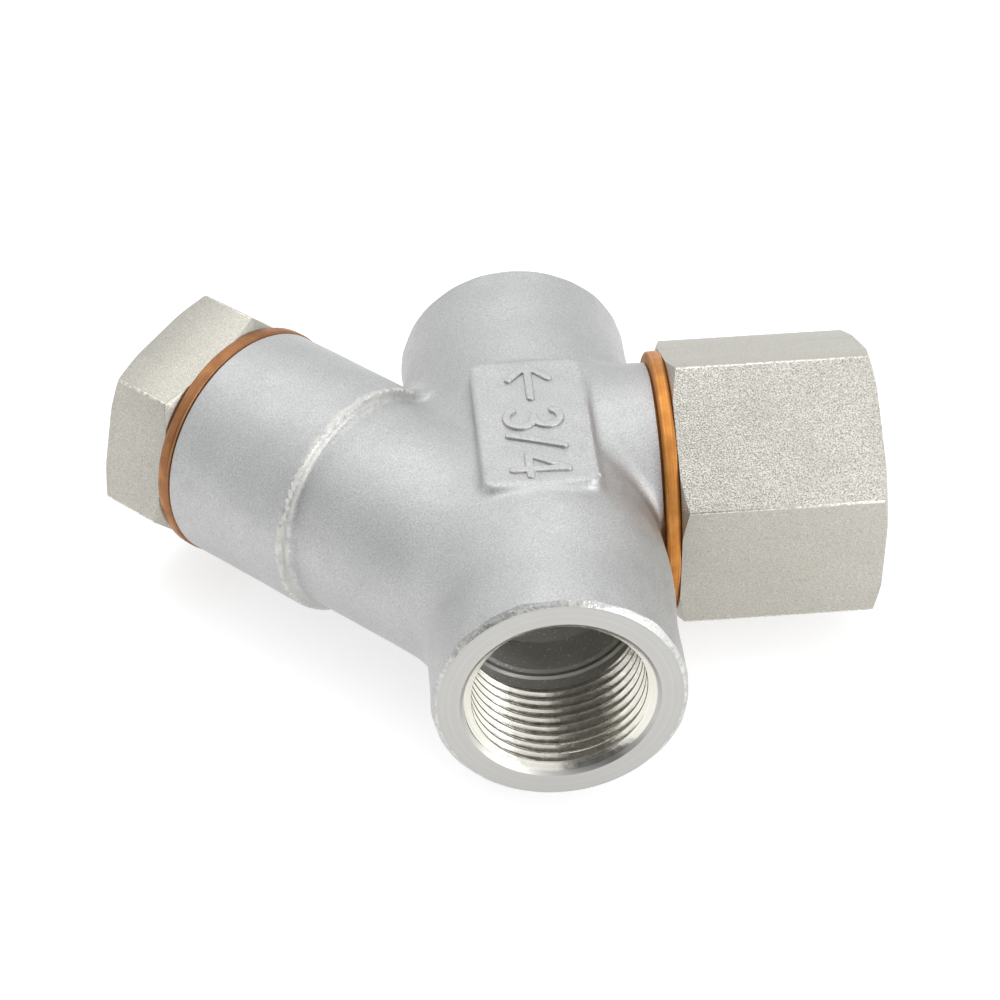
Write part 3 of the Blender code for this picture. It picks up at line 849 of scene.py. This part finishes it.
def make_body():
    """The casting, then everything that is turned, tapped and drilled in it."""
    leg_reach, half_height, room = 58.0, 20.5, 3.0
    face_chamfer = 0.35
    low = (-leg_reach, -RUN_HALF - room, -half_height)
    high = (BOSS_FACE + room, RUN_HALF + room, half_height)
    body = skin_of("strainer_body", casting_distance, low, high, SKIN_STEP)
    cut(
        body,
        facing_tool(RUN_RADIUS, RIM_CHAMFER, RUN_HALF, inlet_axis),
        facing_tool(RUN_RADIUS, RIM_CHAMFER, RUN_HALF, run_axis),
        facing_tool(LEG_COLLAR_RADIUS, face_chamfer, LEG_FACE, leg_axis),
        facing_tool(BOSS_RADIUS, face_chamfer, BOSS_FACE, boss_axis),
        *port_tools(inlet_axis, INLET_DEPTH, INLET_PASSAGE, INLET_PASSAGE_END),
        *port_tools(run_axis, OUTLET_DEPTH, OUTLET_PASSAGE, OUTLET_PASSAGE_END),
        *closure_tools(
            leg_axis, LEG_FACE, PLUG_MAJOR, PLUG_MINOR, LEG_THREAD_START, CHAMBER_RADIUS,
            CHAMBER_SEAT,
        ),
        *closure_tools(
            boss_axis, BOSS_FACE, CAP_MAJOR, CAP_MINOR, BOSS_THREAD_START, BOSS_CHAMBER,
            BOSS_FLOOR,
        ),
        inlet_turn_tool(),
        *drills(),
    )
    finishes = [blasted_casting, raw_passage, *turned_faces, *cut_threads]
    dress(body, finishes, body_finish(face_middles(body)))
    return on_frame(body, "root", "body")


def face_middles(piece):
    """The middle of each of a piece's faces, in the piece's own millimetres."""
    middles = np.empty(len(piece.data.polygons) * 3)
    piece.data.polygons.foreach_get("center", middles)
    return middles.reshape(-1, 3)


def body_finish(middles):
    """Which finish each face of the body has: its place in make_body's list."""
    skin, passage, run_face, leg_face, boss_face, run_thread, leg_thread, boss_thread = range(8)
    finish = np.full(len(middles), passage)
    along, out = middles[:, 1], np.hypot(middles[:, 0], middles[:, 2])
    ledge = np.where(along < 0, RUN_HALF - INLET_DEPTH, RUN_HALF - OUTLET_DEPTH)
    in_port = (np.abs(along) > ledge - 0.02) & (out < RUN_RADIUS + 0.5)
    finish[in_port] = run_face
    past_groove = np.abs(along) > ledge + RELIEF_LENGTH
    finish[in_port & past_groove & (out < PIPE_MAJOR + 0.05)] = run_thread
    finish[in_port & ~past_groove & (out > RELIEF_RADIUS - 0.1)] = passage
    for axis, face, start, major, faced, tapped in (
        (leg_axis, LEG_FACE, LEG_THREAD_START, PLUG_MAJOR, leg_face, leg_thread),
        (boss_axis, BOSS_FACE, BOSS_THREAD_START, CAP_MAJOR, boss_face, boss_thread),
    ):
        height, away = along_axis(middles, axis)
        finish[(height > start - 0.02) & (height < face + 1.0) & (away < major + 5.0)] = faced
        finish[(height > start + 0.1) & (height < face - 0.1) & (away < major + 0.1)] = tapped
    on_skin = casting_distance(middles) > -0.05
    on_rim = (np.abs(along) > RUN_HALF - 3.0) & (out > RUN_RADIUS - RIM_CHAMFER - 0.02)
    faced = np.abs(along) > RUN_HALF - 0.02
    finish[(on_skin | on_rim) & ~faced] = skin
    return finish


def dress(piece, finishes, which=None, sharp=32.0):
    """Gives a piece its materials, and smooth shading between its sharp edges."""
    piece.data.materials.clear()
    for finish in finishes:
        piece.data.materials.append(finish)
    if which is not None:
        piece.data.polygons.foreach_set("material_index", np.asarray(which, np.int32))
    piece.data.shade_smooth()
    piece.data.set_sharp_from_angle(angle=math.radians(sharp))
    return piece


def on_frame(piece, body, node=None):
    """Brings a piece from millimetres to its place on the frame, in metres."""
    piece.data.transform(Matrix.Scale(MM, 4))
    place = piece.matrix_world.copy()
    place.translation = run_centre + place.translation * MM
    piece.matrix_world = place
    if node:
        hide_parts(node)
    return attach(piece, body)


def spigot_screw(face, spigot, axis):
    """A closure's threaded spigot, with a thin neck below the face and a lead at its end."""
    start, major, minor = spigot
    major, minor = major - THREAD_PLAY, minor - THREAD_PLAY
    low, high = start - CLOSURE_PITCH, face + CLOSURE_PITCH
    screw = screw_core("spigot", major, minor, CLOSURE_PITCH, low, high, axis)
    lead, neck, clear = 1.0, 1.9, 0.1
    envelope = [
        (0.0, face + PAST),
        (major + 0.5, face + PAST),
        (major + 0.5, face - 0.01),
        (minor - clear, face - 0.01),
        (minor - clear, face - neck + 0.5),
        (major + clear, face - neck - 0.3),
        (major + clear, start + lead),
        (minor - clear, start),
        (0.0, start),
    ]
    return cut(screw, turned("envelope", envelope, axis), operation="INTERSECT")


def closure_finish(middles, hexagon, pocket, lit_flat):
    """Which finish each face of a closure has: its place in make_closure's list."""
    flats, turn, face, end = hexagon
    radius, pocket_end = pocket
    blasted, bright, corner, lit_coarse = range(4)
    height, out = middles[:, 2], np.hypot(middles[:, 0], middles[:, 1])
    turned_off = (height < face + 0.05) | (height > end - 0.05) & (out < flats / 2)
    hollow_side = (out < radius + 1.0) & (height < pocket_end + 0.1)
    which = np.where(turned_off | hollow_side, bright, blasted)
    # corner faces, which take the worn finish with its painted highlight
    lightened = out > flats / 2 / math.cos(TWELFTH_TURN) - 0.3
    which[lightened & (which == blasted)] = corner
    # the flat given by number takes the lighter copy, painted light
    if lit_flat is not None:
        number = (np.arctan2(middles[:, 1], middles[:, 0]) - turn) // SIXTH_TURN
        which[(number == lit_flat) & (which == blasted)] = lit_coarse
    return which


def make_closure(name, node, body, axis, hexagon, spigot, pocket, lit_flat=None):
    """A hexagon plug or cap: its bar, its threaded spigot and the hollow inside. One flat, by
    its number, may take the lighter, coarser copy of the finish, which is painted light."""
    flats, turn, face, end = hexagon
    radius, pocket_end = pocket
    start = spigot[0]
    closure = hexagon_bar(name, flats, turn, face, end, axis)
    soften(closure, 0.22, 18.0)
    cut(closure, spigot_screw(face, spigot, axis), operation="UNION")
    pocket_corner, past_end = 0.8, 0.4
    hollow = [
        (0.0, pocket_end),
        (radius - pocket_corner, pocket_end),
        (radius, pocket_end - pocket_corner),
        (radius, start + 0.5),
        (radius + 0.9, start - past_end),
        (0.0, start - past_end),
    ]
    cut(closure, turned("hollow", hollow, axis, steps=120))
    which = closure_finish(face_middles(closure), hexagon, pocket, lit_flat)
    dress(closure, (light_blast, turned_closures, worn_corner_and_highlight, lit_coarse_blast), which)
    return on_frame(closure, body, node)


def make_gasket(name, node, body, axis, hole, radius, low, high, finish):
    """A copper ring whose outer edge has been rolled round."""
    edge, hole_edge = 0.5, 0.2
    profile = []
    for middle, first in ((high - edge, 1.0), (low + edge, 0.0)):
        for k in range(7):
            angle = math.pi / 2 * (first - k / 6)
            profile.append((radius - edge + edge * math.cos(angle), middle + edge * math.sin(angle)))
    profile += [(hole + hole_edge, low), (hole, low + hole_edge)]
    profile += [(hole, high - hole_edge), (hole + hole_edge, high)]
    ring = turned(name, profile, axis, steps=160)
    dress(ring, (finish,))
    return on_frame(ring, body, node)


def screen_sheet():
    """The points and faces of the screen's tube: squares of sheet, most with a hole."""
    columns = round(2 * math.pi * SCREEN_RADIUS / HOLES_APART_ROUND)
    rows = int((SCREEN_HIGH - SCREEN_LOW) / HOLES_APART_ALONG)
    step = (SCREEN_HIGH - SCREEN_LOW) / rows
    points, faces, corners = [], [], {}

    def new_point(column, row, across=0.0, up=0.0):
        angle = 2 * math.pi * column / columns + across / SCREEN_RADIUS
        height = SCREEN_LOW + row * step + up
        points.append((SCREEN_RADIUS * math.cos(angle), SCREEN_RADIUS * math.sin(angle), height))
        return len(points) - 1

    def corner(column, row):
        key = (column % columns, row)
        if key not in corners:
            corners[key] = new_point(*key)
        return corners[key]

    for row in range(rows):
        for column in range(columns):
            square = [
                corner(column, row),
                corner(column + 1, row),
                corner(column + 1, row + 1),
                corner(column, row + 1),
            ]
            if not PLAIN_ROWS <= row < rows - PLAIN_ROWS or column < PLAIN_COLUMNS:
                faces.append(square)
                continue
            hole = []
            for k in range(8):
                turn = math.radians(45 * k - 135)
                across, up = HOLE_RADIUS * math.cos(turn), HOLE_RADIUS * math.sin(turn)
                hole.append(new_point(column + 0.5, row + 0.5, across, up))
            for k in range(4):
                first, middle, last = hole[2 * k], hole[2 * k + 1], hole[(2 * k + 2) % 8]
                faces.append((square[k], square[(k + 1) % 4], last, middle))
                faces.append((square[k], middle, first))
    return points, faces


def make_screen():
    """Perforated sheet rolled to a tube, with plain ends and a plain strip at its seam."""
    tube = new_piece("strainer_screen_tube", *screen_sheet(), leg_axis)
    wall = tube.modifiers.new("wall", "SOLIDIFY")
    wall.thickness = SCREEN_WALL
    wall.offset = -1.0
    settle(tube)
    dress(tube, (perforated_sheet,), sharp=40.0)
    return on_frame(tube, "screen", "strainer_screen")


def make_screen_ring(name, node, radius):
    """A pressed ring with a bevelled outer edge."""
    low, high = heights(node, leg_axis)
    edge = 0.45
    profile = [
        (radius - edge, high),
        (radius, high - edge),
        (radius, low + edge),
        (radius - edge, low),
        (SCREEN_RING_HOLE, low),
        (SCREEN_RING_HOLE, high),
    ]
    ring = turned(name, profile, leg_axis, steps=120)
    soften(ring, 0.12, 30.0)
    dress(ring, (turned_closures,))
    return on_frame(ring, "screen", node)


# ---- what is raised on the pad
def bow(middle, half_width, half_height, first, last):
    """Points along part of an oval, between two angles in degrees."""
    turns = np.radians(np.linspace(first, last, 13))
    across = middle[0] + half_width * np.cos(turns)
    return [*zip(across, middle[1] + half_height * np.sin(turns))]


# Lines of the marks, in millimetres along the reading direction and up the letters.
MARK_LINES = [
    [(-4.6, 0.0), (-12.4, 0.0)],
    [(-9.2, 2.9), (-12.4, 0.0), (-9.2, -2.9)],
    bow((0.2, 1.9), 1.9, 1.9, 150, -90) + bow((0.2, -1.95), 2.1, 1.95, 90, -150),
    [(4.2, -3.8), (7.0, 3.8)],
    [(12.3, -3.8), (12.3, 3.8), (8.8, -1.5), (13.7, -1.5)],
]
MARK_HEIGHT, MARK_SUNK, STROKE_HALF, STROKE_EDGE = 0.45, 0.4, 0.6, 0.22


def marks_distance(points):
    """A flow arrow and the pipe size, cast in strokes with soft edges."""
    reading = np.stack([-points[..., 1], points[..., 0]], axis=-1)
    nearest = np.full(reading.shape[:-1], np.inf)
    for line in MARK_LINES:
        for start, end in zip(line, line[1:]):
            way = np.subtract(end, start)
            share = np.clip(((reading - start) @ way) / (way @ way), 0.0, 1.0)
            away = reading - start - share[..., None] * way
            nearest = np.minimum(nearest, np.hypot(away[..., 0], away[..., 1]))
    middle = PAD_HIGH[2] + MARK_HEIGHT / 2 - MARK_SUNK
    up = np.abs(points[..., 2] - middle) - MARK_HEIGHT / 2 - MARK_SUNK
    return rounded_corner(nearest - STROKE_HALF, up, STROKE_EDGE) + 0.6 * unevenness(points)


def make_marks():
    """The marks as one cast piece, sunk a little into the pad."""
    low = (PAD_LOW[0] + 2.0, PAD_LOW[1] + 0.2, PAD_HIGH[2] - 1.4)
    high = (PAD_HIGH[0] - 2.0, PAD_HIGH[1] - 0.2, PAD_HIGH[2] + 1.0)
    marks = skin_of("pad_marks", marks_distance, low, high, MARKS_STEP)
    dress(marks, (blasted_casting,), sharp=70.0)
    return on_frame(marks, "root")


# ---- putting it together
make_body()
make_marks()
make_closure(
    "plug", "strainer_plug", "plug", leg_axis,
    (PLUG_FLATS, PLUG_TURN, PLUG_FACE, PLUG_END),
    (PLUG_SPIGOT, PLUG_MAJOR, PLUG_MINOR),
    (PLUG_POCKET, PLUG_POCKET_END),
)
make_closure(
    "cap", "trap_cap", "cap", boss_axis,
    (CAP_FLATS, CAP_TURN, CAP_FACE, CAP_END),
    (CAP_SPIGOT, CAP_MAJOR, CAP_MINOR),
    (CAP_POCKET, CAP_POCKET_END),
    # flat 0 faces up toward the lens and takes the painted-light copy
    lit_flat=0,
)
make_gasket(
    "plug_ring", "plug_gasket", "plug_gasket_ring", leg_axis,
    PLUG_GASKET_HOLE, PLUG_GASKET_RADIUS, LEG_FACE, PLUG_FACE, dull_copper,
)
make_gasket(
    "cap_ring", "cap_gasket", "cap_gasket_ring", boss_axis,
    CAP_GASKET_HOLE, CAP_GASKET_RADIUS, BOSS_FACE, CAP_FACE, copper_ring,
)
make_screen()
make_screen_ring("screen_ring_inner", "screen_inner_ring", INNER_RING_RADIUS)
make_screen_ring("screen_ring_outer", "screen_outer_ring", OUTER_RING_RADIUS)

inner_parts = {
    machined: ("valve_seat", "valve_stem", "base_plate", "stack_washer", "spring_washer",
               "adjusting_nut", "lock_nut"),
    bimetal_strip: tuple(f"bimetal_disc_{k}" for k in range(1, 9)),
    spring_wire: ("overload_spring",),
    copper_ring: ("seat_gasket",),
}
for finish, nodes in inner_parts.items():
    for node in nodes:
        mesh = frame["nodes"][node].data
        mesh.materials.clear()
        mesh.materials.append(finish)


# ---- floor, light and camera
def make_floor():
    half, below = 3.0, 0.0002
    corners = [(-half, -half, 0), (half, -half, 0), (half, half, 0), (-half, half, 0)]
    floor = new_piece("floor", corners, [(0, 1, 2, 3)])
    floor.location.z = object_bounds()[0].z - below
    floor.data.materials.append(pale_floor())


def make_softbox(name, position, size, power):
    """A square softbox at a place in millimetres from the run's middle, which it faces."""
    light = bpy.data.lights.new(name, "AREA")
    light.shape = "SQUARE"
    light.size = size * MM
    light.energy = power
    box = new_object(name, light)
    box.location = run_centre + Vector(position) * MM
    box.rotation_euler = (run_centre - box.location).to_track_quat("-Z", "Y").to_euler()


def make_world():
    """An even white tent, open to a darker room low on the left of the lens. The opening is
    what gives the bore's thread its dark half."""
    world = bpy.data.worlds.new("light_tent")
    world.use_nodes = True
    tree = world.node_tree
    way = add(tree, "TexCoord").outputs["Generated"]
    parts = add(tree, "SeparateXYZ", {0: way}).outputs
    left, near, low = (
        ramp(tree, parts[k], *ends) for k, ends in enumerate(((0.08, -0.02), (-0.2, -0.6), (0.8, 0.5)))
    )
    opening = maths(tree, "MULTIPLY", maths(tree, "MULTIPLY", left, near), low)
    colour = shade(tree, opening, "#fbfcfd", "#5a5a5c")
    background = tree.nodes["Background"]
    tree.links.new(colour, background.inputs["Color"])
    background.inputs["Strength"].default_value = 1.05
    bpy.context.scene.world = world


def make_camera():
    """Looks down at 38 degrees from just left of the inlet, with a slight roll."""
    bearing, height, roll = (math.radians(a) for a in (3.576, 38.055, -1.481))
    level = math.cos(height)
    forward = Vector((math.sin(bearing) * level, math.cos(bearing) * level, -math.sin(height)))
    right = Vector((math.cos(bearing), -math.sin(bearing), 0.0))
    turn = Matrix((right, right.cross(forward), -forward)).transposed()
    lens = bpy.data.cameras.new("camera")
    lens.sensor_width = 36.0
    lens.lens = 102.27
    lens.clip_start = 0.01
    lens.clip_end = 20.0
    camera = new_object("camera", lens)
    camera.matrix_world = turn.to_4x4() @ Matrix.Rotation(roll, 4, "Z")
    camera.location = run_centre + Vector((-25.335, -324.490, 258.449)) * MM
    bpy.context.scene.camera = camera


make_floor()
make_world()
make_softbox("softbox_above", (-40.0, 160.0, 600.0), 700.0, 1.5)
make_softbox("softbox_right", (420.0, -380.0, 180.0), 320.0, 1.4)
make_camera()
bpy.context.scene.view_settings.view_transform = "Standard"
